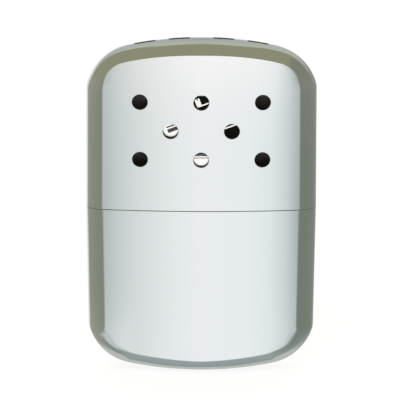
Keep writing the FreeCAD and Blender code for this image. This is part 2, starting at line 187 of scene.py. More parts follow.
def eased(nodes):
    """Smooth curve through (place, value) nodes, level at both ends, as a function of place."""
    places = [place for place, _ in nodes]
    values = [value for _, value in nodes]
    slopes = [0.0]
    for i in range(1, len(nodes) - 1):
        slopes.append((values[i + 1] - values[i - 1]) / (places[i + 1] - places[i - 1]))
    slopes.append(0.0)

    def curve(place):
        place = min(max(place, places[0]), places[-1])
        i = max(k for k in range(len(places) - 1) if places[k] <= place)
        span = places[i + 1] - places[i]
        t = (place - places[i]) / span
        return ((1 + 2 * t) * (1 - t)**2 * values[i] + t * (1 - t)**2 * span * slopes[i]
                + t**2 * (3 - 2 * t) * values[i + 1] - t**2 * (1 - t) * span * slopes[i + 1])
    return curve


class Face:
    """The case's face on one half, and the crease that bounds it. z is counted from the seam."""

    def __init__(self, rise, crease, blend, fall):
        self.rise = rise
        self.bow, self.corner_fall = fall
        self.side, self.arcs = outline_arcs(rise)
        self.starts = [self.side]
        for _, radius, first, last in self.arcs:
            self.starts.append(self.starts[-1] + radius * (last - first))
        self.crease, self.blend = [
            eased([(0.0, nodes[0][1])] + [(self.length_at(math.radians(angle)), value)
                                          for angle, value in nodes]) for nodes in (crease, blend)]
        corner = [self.length_at(math.radians(angle)) for angle in DROOP_TURNS]
        self.droop = eased(list(zip([0.0] + corner + [self.starts[-1]], (0, 0, 1, 1, 0, 0))))

    def length_at(self, angle):
        """Length along the outline where it faces an angle."""
        for (_, radius, first, last), start in zip(self.arcs, self.starts):
            if angle <= last:
                return start + radius * max(angle - first, 0.0)
        return self.starts[-1]

    def nearest(self, x, z):
        """Inset of a flat point from the outline, and the length along the outline there."""
        slack = 1e-6
        x = abs(x)
        out = turn(DRAFT)
        inset = (HALF_WIDTH - x) * out[0] - z * out[1]
        length = (HALF_WIDTH - x) * out[1] + z * out[0]
        found = [(inset, length)] if length <= self.side + slack else []
        for (centre, radius, first, last), start in zip(self.arcs, self.starts):
            angle = math.atan2(z - centre[1], x - centre[0])
            if first - slack <= angle <= last + slack:
                inset = radius - math.hypot(x - centre[0], z - centre[1])
                found.append((inset, start + radius * (angle - first)))
        return min(found)

    def depth(self, x, z):
        """Half-depth of the face."""
        inset, length = self.nearest(x, z)
        droop = (self.corner_fall * self.droop(length)
                 * math.exp((self.crease(length) - inset) / DROOP_REACH))
        bow = self.bow * (1 - (x / CREASE_HALF)**2) * (max(z, 0.0) / self.rise)**BOW_POWER
        return FACE_DEPTH - FACE_CURVE * x * x - bow - droop

    def slopes(self, x, z):
        """How the half-depth changes across and upwards."""
        step = 0.002
        return ((self.depth(x + step, z) - self.depth(x - step, z)) / (2 * step),
                (self.depth(x, z + step) - self.depth(x, z - step)) / (2 * step))


class Roll:
    """The roll-off's arc in one section, from the rim's edge to the crease, and its fillet."""

    def __init__(self, crease, depth, level):
        rim_in = RIM_RADIUS - math.sqrt(RIM_RADIUS**2 - RIM_HALF_DEPTH**2)
        run, climb = crease - rim_in, depth - RIM_HALF_DEPTH
        chord = math.hypot(run, climb)
        half_turn = ROLL_TURN[1] + (ROLL_TURN[0] - ROLL_TURN[1]) * level**2
        self.radius = chord / (2 * math.sin(half_turn))
        height = self.radius * math.cos(half_turn)
        self.centre = np.array((rim_in + run / 2 + height * climb / chord,
                                RIM_HALF_DEPTH + climb / 2 - height * run / chord))

    def depth(self, inset):
        """Half-depth at an inset, and its slope."""
        rise = math.sqrt(self.radius**2 - (self.centre[0] - inset)**2)
        return self.centre[1] + rise, (self.centre[0] - inset) / rise

    def edge_columns(self):
        """Section of the edge, middle to roll-off: (inset, depth, outward, forward)."""
        rim = np.array((RIM_RADIUS, 0.0))
        near, far = RIM_RADIUS - FILLET, self.radius - FILLET
        apart = np.linalg.norm(self.centre - rim)
        along = (near**2 - far**2 + apart**2) / (2 * apart)
        aside = math.sqrt(max(near**2 - along**2, 0.0))
        unit = (self.centre - rim) / apart
        across = np.array((-unit[1], unit[0]))
        found = [rim + along * unit + sign * aside * across for sign in (-1, 1)]
        middle = min(found, key=lambda point: point[0])
        on_rim, on_roll = [math.atan2(middle[1] - c[1], c[0] - middle[0])
                           for c in (rim, self.centre)]
        columns = []
        for depth in (*RIM_ROWS, RIM_RADIUS * math.sin(on_rim)):
            angle = math.asin(depth / RIM_RADIUS)
            cos, sin = math.cos(angle), math.sin(angle)
            columns.append((RIM_RADIUS * (1 - cos), depth, cos, sin))
        for step in range(1, FILLET_STEPS + 1):
            angle = on_rim + (on_roll - on_rim) * step / FILLET_STEPS
            cos, sin = math.cos(angle), math.sin(angle)
            columns.append((middle[0] - FILLET * cos, middle[1] + FILLET * sin, cos, sin))
        return columns


def station_section(station, face):
    """Points and normals of one station, from the rim's middle in to the panel's net."""
    point, inward, out = station
    x, z = point + inward
    _, length = face.nearest(x, z)
    crease = face.crease(length)
    x, z = point + inward * crease
    arc = Roll(crease, face.depth(x, z), abs(out[0]))
    edge = arc.edge_columns()
    rows = []
    for inset, depth, outward, forward in edge:
        x, z = point + inward * inset
        rows.append(((x, depth, z), (outward * out[0], forward, outward * out[1])))
    blend = face.blend(length)
    reach = BLEND_REACH + blend
    start, end = edge[-1][0], crease - reach
    insets = [start + (end - start) * step / ROLL_STEPS for step in range(1, ROLL_STEPS + 1)]
    insets += [end + 2 * reach * step / CREASE_STEPS for step in range(1, CREASE_STEPS + 1)]
    start = insets[-1]
    insets += [start + (BAND_INSET - start) * step / INNER_STEPS
               for step in range(1, INNER_STEPS + 1)]
    for inset in insets:
        x, z = point + inward * inset
        first, slope = arc.depth(inset)
        second, (across, upward) = face.depth(x, z), face.slopes(x, z)
        share = min(max(0.5 + 0.5 * (second - first) / blend, 0.0), 1.0)
        depth = second + (first - second) * share - blend * share * (1 - share)
        slope_x = share * -slope * out[0] + (1 - share) * across
        slope_z = share * -slope * out[1] + (1 - share) * upward
        rows.append(((x, depth, z), (-slope_x, 1.0, -slope_z)))
    return rows


class Skin:
    """Points, their normals, and faces with a material and, where it differs, normals."""

    def __init__(self):
        self.points = []
        self.normals = []
        self.faces = []

    def add(self, point, normal):
        self.points.append(np.array(point, float))
        normal = np.array(normal, float)
        self.normals.append(normal / np.linalg.norm(normal))
        return len(self.points) - 1

    def face(self, corners, material=0, normal=None):
        """Adds a face and turns it to look along its normals. One normal makes it flat."""
        corners = list(corners)
        points = [self.points[c] for c in corners]
        normals = [self.normals[c] if normal is None else normal for c in corners]
        area = sum(np.cross(points[i] - points[0], points[i + 1] - points[0])
                   for i in range(1, len(points) - 1))
        if np.dot(area, sum(normals)) < 0:
            corners.reverse()
            normals.reverse()
        self.faces.append((corners, material, normals))

    def loop(self, points, normals):
        return [self.add(point, normal) for point, normal in zip(points, normals)]

    def bridge(self, first, second, material=0, normals=None):
        """Closed strip of faces between two loops of the same length."""
        count = len(first)
        for i in range(count):
            j = (i + 1) % count
            normal = None if normals is None else normals[i]
            self.face((first[i], first[j], second[j], second[i]), material, normal)

    def fill(self, flat, loops, inner, material=0):
        """Net over flat places, bounded by the first loop, with the other loops as holes.

        flat gives the flat place of each index in loops and inner.
        """
        indices = sorted(set(i for loop in loops for i in loop) | set(inner))
        local = {index: number for number, index in enumerate(indices)}
        edges = [(local[loop[i]], local[loop[(i + 1) % len(loop)]])
                 for loop in loops for i in range(len(loop))]
        inside_only, slack = 1, 1e-7
        made = delaunay_2d_cdt([Vector(flat[i]) for i in indices], edges, [], inside_only, slack)
        places, triangles, originals = made[0], made[2], made[3]
        holes = [np.array([flat[i] for i in loop]) for loop in loops[1:]]
        for triangle in triangles:
            middle = sum((places[i] for i in triangle), Vector((0, 0))) / len(triangle)
            if any(inside(hole, middle) for hole in holes):
                continue
            self.face([indices[originals[i][0]] for i in triangle], material)

    def build(self, name, materials):
        """The mesh object, in metres."""
        mesh = bpy.data.meshes.new(name)
        mesh.from_pydata([tuple(p * MM) for p in self.points], [], [f[0] for f in self.faces])
        for material in materials:
            mesh.materials.append(material)
        mesh.polygons.foreach_set("material_index", [f[1] for f in self.faces])
        mesh.polygons.foreach_set("use_smooth", [True] * len(self.faces))
        mesh.update()
        mesh.normals_split_custom_set([tuple(n) for f in self.faces for n in f[2]])
        return add_object(name, mesh)


def inside(polygon, point):
    """Whether a flat point lies in a polygon."""
    x, y = point[0], point[1]
    a, b = polygon, np.roll(polygon, -1, axis=0)
    crosses = (a[:, 1] > y) != (b[:, 1] > y)
    a, b = a[crosses], b[crosses]
    at = a[:, 0] + (y - a[:, 1]) / (b[:, 1] - a[:, 1]) * (b[:, 0] - a[:, 0])
    return int(np.sum(at > x)) % 2 == 1


def vent_places():
    """Middle of each vent, (x, height above the seam)."""
    places = []
    for row in (-1, 0, 1):
        for column in ((-0.5, 0.5) if row == 0 else (-1, 0, 1)):
            places.append((column * VENT_COLUMN, VENT_HEIGHT - SEAM + row * VENT_ROW))
    return places


def oblong_loop(middle, length, width):
    """Closed outline of a slot with round ends, as flat points."""
    points = []
    radius = width / 2
    straight = length / 2 - radius
    for side in (1, -1):
        for step in range(SLOT_ARC_STEPS + 1):
            angle = -side * math.pi / 2 + math.pi * step / SLOT_ARC_STEPS
            x, y = radius * math.cos(angle), radius * math.sin(angle)
            points.append((middle + side * straight + x, y))
        steps = int(2 * straight / SLOT_SIDE_STEP)
        for step in range(1, steps):
            points.append((middle + side * straight * (1 - 2 * step / steps), side * radius))
    return points


class HalfCase:
    """Thin shell of one half of the case, built upwards from the seam at z = 0."""

    def __init__(self, rise, crease, blend, fall, vents=(), slots=()):
        self.rise = rise
        self.face = Face(rise, crease, blend, fall)
        self.skin = Skin()
        self.holes = []              # (kind, loop, place)
        self.bottom = {}             # each panel's edge along the seam, by side
        self.make_band(slots)
        self.make_panel(-1, vents)
        self.make_panel(1, ())
        self.outside_faces = len(self.skin.faces)
        self.make_inside()
        self.make_seam_edge()
        for kind, loop, place in self.holes:
            if kind == "vent":
                self.make_vent(loop, place)
            else:
                self.make_slot(loop)

    def make_band(self, slots):
        """The edge all round, from one panel's net over the rim to the other's."""
        places, (first, last) = stations(self.rise)
        sections = [station_section(station, self.face) for station in places]
        slot_column = RIM_ROWS.index(SLOT_ROW)
        reach = len(sections[0]) - 1
        self.grid = []
        for number, section in enumerate(sections):
            column = {}
            for side in (-1, 1):
                for j, (point, normal) in enumerate(section):
                    if side > 0 and j == 0:
                        continue
                    if slots and first < number < last and j < slot_column:
                        continue
                    place = (point[0], side * point[1], point[2])
                    facing = (normal[0], side * normal[1], normal[2])
                    column[side * j] = self.skin.add(place, facing)
            self.grid.append(column)
        for i in range(len(self.grid) - 1):
            near, far = self.grid[i], self.grid[i + 1]
            for j in range(-reach, reach):
                if slots and first <= i < last and -slot_column <= j < slot_column:
                    continue
                self.skin.face((near[j], near[j + 1], far[j + 1], far[j]))
        self.reach = reach
        if slots:
            self.make_slot_net(slots, first, last, slot_column)

    def rim_place(self, along, depth):
        """Point and normal on the end's rim, from its place along the arc and its depth."""
        angle = math.pi / 2 - along / END_RADIUS
        lean = math.asin(depth / RIM_RADIUS)
        out = turn(angle)
        inset = RIM_RADIUS * (1 - math.cos(lean))
        centre = np.array((0.0, self.rise - END_RADIUS))
        x, z = centre + (END_RADIUS - inset) * out
        return (x, depth, z), (math.cos(lean) * out[0], math.sin(lean), math.cos(lean) * out[1])

    def make_slot_net(self, slots, first, last, slot_column):
        """Net over the middle of the end's rim, with the slots left open."""
        columns = range(1 - slot_column, slot_column)
        boundary = [self.grid[i][-slot_column] for i in range(first, last + 1)]
        boundary += [self.grid[last][j] for j in columns]
        boundary += [self.grid[i][slot_column] for i in range(last, first - 1, -1)]
        boundary += [self.grid[first][j] for j in reversed(columns)]
        flat = {}
        for index in boundary:
            x, y, z = self.skin.points[index]
            flat[index] = (END_RADIUS * math.atan2(x, z - self.rise + END_RADIUS), y)
        loops = [boundary]
        shapes = []
        for place in slots:
            outline = oblong_loop(place, SLOT_LENGTH + 2 * SLOT_ROUND, SLOT_WIDTH + 2 * SLOT_ROUND)
            loop = []
            for x, y in outline:
                inset = RIM_RADIUS * (1 - math.cos(math.asin(y / RIM_RADIUS)))
                along = END_RADIUS * math.asin(x / (END_RADIUS - inset))
                index = self.skin.add(*self.rim_place(along, y))
                flat[index] = (along, y)
                loop.append(index)
            loops.append(loop)
            shapes.append(np.array([flat[i] for i in loop]))
            self.holes.append(("slot", loop, place))
        inner = []
        limit = flat[self.grid[first][0]][0]
        count = int(limit / SLOT_STEP)
        for i in range(-count + 1, count):
            for depth in SLOT_DEPTHS:
                along = i * SLOT_STEP
                near = min(np.min(np.hypot(s[:, 0] - along, s[:, 1] - depth)) for s in shapes)
                if near < SLOT_CLEAR or any(inside(s, (along, depth)) for s in shapes):
                    continue
                index = self.skin.add(*self.rim_place(along, depth))
                flat[index] = (along, depth)
                inner.append(index)
        self.skin.fill(flat, loops, inner)

    def panel_point(self, x, z, side):
        """Point and normal on a panel."""
        across, upward = self.face.slopes(x, z)
        return (x, side * self.face.depth(x, z), z), (-across, side, -upward)

    def make_panel(self, side, vents):
        """Net over a panel, inside the band, with the vents left open."""
        edge = [column[side * self.reach] for column in self.grid]
        right, left = self.skin.points[edge[0]], self.skin.points[edge[-1]]
        count = int((right[0] - left[0]) / PANEL_STEP)
        bottom = []
        for i in range(1, count):
            x = left[0] + (right[0] - left[0]) * i / count
            bottom.append(self.skin.add(*self.panel_point(x, SEAM_ROW, side)))
        loops = [edge + bottom]
        inner = []
        for place in vents:
            for number, (apart, points) in enumerate(VENT_RINGS):
                loop = []
                for out in circle(points):
                    x, z = place + (VENT_RADIUS + apart) * out
                    loop.append(self.skin.add(*self.panel_point(x, z, side)))
                if number == 0:
                    loops.append(loop)
                    self.holes.append(("vent", loop, place))
                else:
                    inner += loop
        edge_flat = np.array([self.skin.points[i][[0, 2]] for i in loops[0]])
        across = int(2 * HALF_WIDTH / PANEL_STEP / 2)
        for i in range(-across, across + 1):
            for j in range(1, int(self.rise / PANEL_STEP) + 1):
                x, z = i * PANEL_STEP, j * PANEL_STEP
                if not inside(edge_flat, (x, z)):
                    continue
                near = np.min(np.hypot(edge_flat[:, 0] - x, edge_flat[:, 1] - z))
                if near < EDGE_CLEAR * PANEL_STEP:
                    continue
                if any(math.hypot(x - a, z - b) < VENT_RADIUS + VENT_CLEAR for a, b in vents):
                    continue
                inner.append(self.skin.add(*self.panel_point(x, z, side)))
        flat = {i: tuple(self.skin.points[i][[0, 2]]) for part in (*loops, inner) for i in part}
        self.skin.fill(flat, loops, inner)
        self.bottom[side] = bottom

    def make_inside(self):
        """The inner skin, a wall's thickness behind the outer one."""
        skin = self.skin
        outside = len(skin.points)
        for point, normal in zip(skin.points[:outside], skin.normals[:outside]):
            skin.add(point - WALL * normal, -normal)
        self.inner = {i: i + outside for i in range(outside)}
        for corners, _, _ in skin.faces[:self.outside_faces]:
            skin.face([self.inner[c] for c in corners], 1)
        for kind, loop, place in self.holes:
            if kind == "vent":
                radius = VENT_RADIUS + LIP_WALL
                for index, out in zip(loop, circle(len(loop))):
                    skin.points[self.inner[index]][[0, 2]] = place + radius * out

    def round_off(self, loop, radius, steps, normals, ahead, behind):
        """Quarter round on a loop, from its normals to ahead, with its centre behind."""
        skin = self.skin
        starts = [skin.points[i] for i in loop]
        for step in range(1, steps + 1):
            angle = math.pi / 2 * step / steps
            sin, cos = math.sin(angle), math.cos(angle)
            row = skin.loop([p + radius * (sin * a + (1 - cos) * b)
                             for p, a, b in zip(starts, ahead, behind)],
                            [cos * n + sin * a for n, a in zip(normals, ahead)])
            skin.bridge(loop, row)
            loop = row
        return loop

    def make_seam_edge(self):
        """Rounded edge of the sheet along the seam."""
        skin = self.skin
        first, last = self.grid[0], self.grid[-1]
        ring = [first[j] for j in range(self.reach, -self.reach - 1, -1)]
        ring += list(reversed(self.bottom[-1]))
        ring += [last[j] for j in range(-self.reach, self.reach + 1)]
        ring += self.bottom[1]
        level = []
        for index in ring:
            normal = skin.normals[index] * (1, 1, 0)
            level.append(normal / np.linalg.norm(normal))
        down = np.array((0.0, 0.0, -1.0))
        last_row = self.round_off(ring, SEAM_ROUND, ROUND_STEPS, level, [down] * len(ring),
                                  [-n for n in level])
        inner = [self.inner[i] for i in ring]
        foot = skin.loop([skin.points[i] * (1, 1, 0) + (0, 0, SEAM_GAP) for i in inner],
                         [skin.normals[i] for i in inner])
        skin.bridge(last_row, foot, 0, [down] * len(foot))
        skin.bridge(foot, inner, 1)

    def make_vent(self, loop, place):
        """Rounded mouth and inward lip of one vent."""
        skin = self.skin
        count = len(loop)
        inward = [np.array((-x, 0.0, -z)) for x, z in circle(count)]
        back = np.array((0.0, 1.0, 0.0))
        last_row = self.round_off(loop, VENT_ROUND, ROUND_STEPS, [skin.normals[i] for i in loop],
                                  inward, [back] * count)
        end = LIP_DEPTH - self.face.depth(place[0], VENT_HEIGHT - SEAM)
        tip, far = LIP_ROUND, VENT_RADIUS + LIP_WALL
        middle = np.array((place[0], 0.0, place[1]))
        outward = [-m for m in inward]
        # Material 2 on the lip's inner wall and end is painted near black as the shade in the vent
        for radius, depth, normals, material, flat in (
                (VENT_RADIUS, end - tip, inward, 2, None),
                (VENT_RADIUS + tip, end, [m + back for m in inward], 2, None),
                (far - tip, end, [m + back for m in outward], 2, [back] * count),
                (far, end - tip, outward, 1, None)):
            row = skin.loop([middle - radius * m + depth * back for m in inward], normals)
            skin.bridge(last_row, row, material, flat)
            last_row = row
        skin.bridge(last_row, [self.inner[i] for i in loop], 1, outward)

    def make_slot(self, loop):
        """Rounded mouth and plain wall of one slot."""
        skin = self.skin
        count = len(loop)
        inward = []
        for i, index in enumerate(loop):
            along = skin.points[loop[(i + 1) % count]] - skin.points[loop[i - 1]]
            aside = np.cross(skin.normals[index], along)
            inward.append(aside / np.linalg.norm(aside))
        middle = sum(skin.points[i] for i in loop) / count
        if np.dot(inward[0], middle - skin.points[loop[0]]) < 0:
            inward = [-m for m in inward]
        normals = [skin.normals[i] for i in loop]
        mouth = self.round_off(loop, SLOT_ROUND, SLOT_ROUND_STEPS, normals, inward,
                               [-n for n in normals])
        for index, m in zip(loop, inward):
            skin.points[self.inner[index]] += SLOT_ROUND * m
        # The slot's wall takes material 2, painted near black as the shade in the slot
        skin.bridge(mouth, [self.inner[i] for i in loop], 2, inward)

    def place(self, height, direction):
        """Moves the shell from the seam at z = 0 to its place, up or down."""
        skin = self.skin
        for point in skin.points:
            point[2] = height + direction * point[2]
        faces = []
        for corners, material, normals in skin.faces:
            if direction < 0:
                corners, normals = corners[::-1], normals[::-1]
            faces.append((corners, material, [n * (1, 1, direction) for n in normals]))
        skin.faces = faces
        return skin


# Shader nodes
# Object coordinates are in metres, so a noise scale of 1000 gives features of about 1 mm


class Graph:
    """Short ways to add nodes to one node tree."""

    def __init__(self, tree):
        self.tree = tree
        tree.nodes.clear()

    def add(self, kind, inputs=(), **settings):
        node = self.tree.nodes.new(kind)
        for name, value in settings.items():
            setattr(node, name, value)
        for name, value in dict(inputs).items():
            self.put(node.inputs[name], value)
        return node

    def put(self, socket, value):
        if isinstance(value, bpy.types.NodeSocket):
            self.tree.links.new(value, socket)
        else:
            socket.default_value = value

    def math(self, operation, first, second=0.0, third=0.0):
        return self.add("ShaderNodeMath", {0: first, 1: second, 2: third},
                        operation=operation).outputs[0]

    def times(self, *factors):
        product = factors[0]
        for factor in factors[1:]:
            product = self.math("MULTIPLY", product, factor)
        return product

    def smooth(self, value, low, high, start=0.0, end=1.0):
        """Smooth step of a value, from start at low to end at high."""
        inputs = {"Value": value, "From Min": low, "From Max": high,
                  "To Min": start, "To Max": end}
        return self.add("ShaderNodeMapRange", inputs, interpolation_type="SMOOTHSTEP").outputs[0]

    def mix(self, share, first, second, blend="MIX"):
        """Mix of two colours, each a socket or (red, green, blue)."""
        first, second = [(*c, 1.0) if isinstance(c, tuple) else c for c in (first, second)]
        node = self.add("ShaderNodeMix", data_type="RGBA", blend_type=blend)
        for number, value in ((0, share), (6, first), (7, second)):
            self.put(node.inputs[number], value)
        return node.outputs[2]

    def over(self, under, value, step, colour):
        """A colour laid over another by a smooth step of a value."""
        return self.mix(self.smooth(value, *step), under, colour)

    def ramp(self, value, stops):
        """Colour between (place, colour) stops."""
        node = self.add("ShaderNodeValToRGB", {"Fac": value})
        elements = node.color_ramp.elements
        while len(elements) < len(stops):
            elements.new(1.0)
        for element, (place, colour) in zip(elements, stops):
            element.position = place
            element.color = (*colour, 1.0)
        return node.outputs["Color"]

    def noise(self, vector, scale, detail=2.0, roughness=0.5):
        inputs = {"Vector": vector, "Scale": scale, "Detail": detail, "Roughness": roughness}
        return self.add("ShaderNodeTexNoise", inputs).outputs["Fac"]

    def scaled(self, vector, scale):
        return self.add("ShaderNodeMapping", {"Vector": vector, "Scale": scale}).outputs[0]

    def bump(self, height, distance, strength=1.0, normal=None):
        inputs = {"Height": height, "Distance": distance, "Strength": strength}
        if normal is not None:
            inputs["Normal"] = normal
        return self.add("ShaderNodeBump", inputs).outputs["Normal"]


def material(name, paint):
    """Node material whose Principled shader gets what paint(graph, place) returns."""
    made = bpy.data.materials.new(name)
    made.use_nodes = True
    graph = Graph(made.node_tree)
    place = graph.add("ShaderNodeTexCoord").outputs["Object"]
    shader = graph.add("ShaderNodeBsdfPrincipled", paint(graph, place))
    graph.add("ShaderNodeOutputMaterial", {"Surface": shader.outputs[0]})
    return made


def metal(tone, rough, normal, metallic=1.0):
    return {"Base Color": tone, "Metallic": metallic, "Roughness": rough, "Normal": normal}


def chrome(graph, place):
    """Polished chrome plate: faint haze, hair scratches and the slightest waviness."""
    haze = graph.noise(place, 60.0, 3.0)
    fine = graph.noise(place, 900.0, 4.0)
    hair = graph.noise(graph.scaled(place, (5200.0, 5200.0, 260.0)), 1.0, 2.0)
    rough = graph.math("MULTIPLY_ADD", haze, 0.05, 0.035)
    rough = graph.math("MULTIPLY_ADD", graph.smooth(hair, 0.58, 0.75), 0.05, rough)
    tone = graph.mix(graph.times(fine, 0.35), (0.80, 0.82, 0.825), (0.77, 0.79, 0.795))
    wave = graph.bump(graph.noise(place, 45.0, 1.0), 0.00001, 0.35)
    normal = graph.bump(fine, 0.000004, 0.12, wave)
    return metal(tone, rough, normal)


def inside_plate(graph, place):
    """Dull unpolished plate inside the case, with stains from the burner's fumes."""
    cloud = graph.noise(place, 120.0, 5.0)
    grain = graph.noise(graph.scaled(place, (900.0, 900.0, 4200.0)), 1.0, 3.0)
    tone = graph.ramp(cloud, ((0.3, (0.46, 0.45, 0.44)), (0.55, (0.55, 0.54, 0.53)),
                              (0.8, (0.60, 0.57, 0.53))))
    rough = graph.math("MULTIPLY_ADD", cloud, 0.2, 0.4)
    return metal(tone, rough, graph.bump(grain, 0.00001, 0.4))


def painted_shade_edge(graph, place):
    """Pressed-in walls of the vents and slots, dulled, and painted near black as the shade inside
    these openings.
    """
    cloud = graph.noise(place, 900.0, 4.0)
    # Painted shade: these near-black tones stand for the shade inside the vents and slots
    tone = graph.ramp(cloud, ((0.3, (0.05, 0.05, 0.05)), (0.7, (0.11, 0.11, 0.105))))
    rough = graph.math("MULTIPLY_ADD", cloud, 0.25, 0.35)
    return metal(tone, rough, graph.bump(cloud, 0.00001, 0.4), metallic=0.8)


def brushed(light, dark, rough, stretch, depth=0.00001):
    """Sheet metal with fine streaks along the axis whose stretch is smallest."""
    def paint(graph, place):
        streak = graph.noise(graph.scaled(place, stretch), 1.0, 4.0, 0.6)
        cloud = graph.noise(place, 150.0, 3.0)
        tone = graph.over(light, cloud, (0.3, 0.75), dark)
        tone = graph.mix(graph.times(streak, 0.3), tone, dark)
        level = graph.math("MULTIPLY_ADD", streak, 0.18, rough - 0.06)
        return metal(tone, level, graph.bump(streak, depth, 0.5))
    return paint


def heated_steel(graph, place):
    """Bright stamped burner sheet, faintly straw and blue where the catalyst glows.

    Its walls are stamped with a slight belly, which turns what they mirror a little upwards.
    """
    height = graph.add("ShaderNodeSeparateXYZ", {0: place}).outputs[2]
    cloud = graph.noise(place, 260.0, 4.0)
    level = graph.math("MULTIPLY_ADD", cloud, 0.006, height)
    tint = graph.ramp(graph.smooth(level, 0.066, 0.092), (
        (0.0, (0.95, 0.965, 0.965)), (0.4, (0.95, 0.96, 0.945)), (0.75, (0.95, 0.935, 0.89)),
        (1.0, (0.91, 0.92, 0.93))))
    grain = graph.noise(graph.scaled(place, (7000.0, 7000.0, 900.0)), 1.0, 3.0)
    rough = graph.math("MULTIPLY_ADD", grain, 0.08, 0.15)
    belly = graph.bump(graph.times(height, -0.165), 1.0)
    return metal(tint, rough, graph.bump(grain, 0.000008, 0.2, belly))


def fibre_mat(graph, place):
    """Woven glass fibre, dark partly with its platinum coat and partly as painted shade, and
    painted pale at its left side as light falling on it.
    """
    threads = {"Vector": place, "Scale": 380.0, "Distortion": 1.5, "Detail": 2.0,
               "Detail Scale": 6.0}
    warp, weft = [graph.add("ShaderNodeTexWave", threads, bands_direction=axis).outputs["Fac"]
                  for axis in "XZ"]
    weave = graph.times(warp, weft)
    fuzz = graph.noise(place, 6000.0, 4.0, 0.7)
    height = graph.math("MULTIPLY_ADD", fuzz, 0.5, weave)
    # Near-black tones: partly the coated fibre's own colour, partly painted shade inside the
    # burner
    tone = graph.ramp(height, ((0.1, (0.012, 0.012, 0.012)), (0.6, (0.035, 0.034, 0.033)),
                               (1.0, (0.075, 0.072, 0.068))))
    parts = graph.add("ShaderNodeSeparateXYZ", {0: place}).outputs
    # Painted light: the mat turns pale towards its left side, where light falls on it
    painted_light_side = graph.math("MULTIPLY_ADD", graph.noise(place, 500.0, 3.0), 0.004, parts[0])
    tone = graph.over(tone, painted_light_side, (-0.002, -0.005), (0.55, 0.55, 0.53))
    return {"Base Color": tone, "Roughness": 0.92, "Normal": graph.bump(height, 0.00008, 0.8),
            "Sheen Weight": 0.15, "Sheen Roughness": 0.5}


def felt(graph, place):
    """Pressed wool felt."""
    fuzz = graph.noise(place, 2600.0, 6.0, 0.75)
    cloud = graph.noise(place, 300.0, 2.0)
    tone = graph.over((0.56, 0.53, 0.46), fuzz, (0.3, 0.7), (0.74, 0.71, 0.64))
    tone = graph.mix(graph.times(cloud, 0.4), tone, (0.64, 0.60, 0.50))
    return {"Base Color": tone, "Roughness": 0.95, "Normal": graph.bump(fuzz, 0.0002, 0.8),
            "Sheen Weight": 0.3, "Sheen Roughness": 0.6}


def cotton(graph, place):
    """Loose cotton wadding."""
    strands = graph.noise(graph.scaled(place, (1600.0, 500.0, 900.0)), 1.0, 6.0, 0.8)
    cloud = graph.noise(place, 140.0, 3.0)
    tone = graph.over((0.78, 0.77, 0.73), strands, (0.25, 0.75), (0.90, 0.89, 0.86))
    tone = graph.mix(graph.times(cloud, 0.3), tone, (0.84, 0.81, 0.74))
    return {"Base Color": tone, "Roughness": 1.0, "Normal": graph.bump(strands, 0.0004, 0.9),
            "Sheen Weight": 0.4, "Sheen Roughness": 0.7}


def dress(node, made):
    """Gives a CAD node a material."""
    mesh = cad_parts[node].data
    mesh.materials.clear()
    mesh.materials.append(made)
    mesh.polygons.foreach_set("material_index", [0] * len(mesh.polygons))


# Studio

CAMERA_PLACE = (-0.2987, -750.341, 276.185)
CAMERA_TARGET = (-0.2987, 0.0, 51.8306)
CAMERA_ROLL = math.radians(0.1887)
CAMERA_LENS = 241.953
CAMERA_SENSOR = 36.0

# Lamps: (name, place in metres, size, power), and the height that they look at
LAMPS = (("key", (-0.5, -0.9, 1.2), 0.9, 9.0), ("fill", (0.9, -0.6, 0.7), 0.9, 4.0),
         ("top", (0.1, 0.5, 1.4), 1.1, 6.0))
LAMP_AIM = 0.05

# The floor, which glows only for the camera
FLOOR_REACH = 4.0
FLOOR_COLOUR = (0.8, 0.8, 0.8)
FLOOR_SEEN_COLOUR = (0.2, 0.2, 0.2)
FLOOR_GLOW = 0.86


def make_camera():
    """Camera at the photograph's viewing angle."""
    data = bpy.data.cameras.new("camera")
    data.sensor_width = CAMERA_SENSOR
    data.lens = CAMERA_LENS
    data.clip_start, data.clip_end = 0.05, 20.0
    camera = add_object("camera", data)
    eye, target = Vector(CAMERA_PLACE) * MM, Vector(CAMERA_TARGET) * MM
    back = (eye - target).normalized()
    level = Vector((0, 0, 1)).cross(back).normalized()
    right = level * math.cos(CAMERA_ROLL) + back.cross(level) * math.sin(CAMERA_ROLL)
    up = back.cross(right)
    camera.matrix_world = Matrix.Translation(eye) @ Matrix((right, up, back)).transposed().to_4x4()
    bpy.context.scene.camera = camera


WHITE = (1.0, 1.0, 1.0)

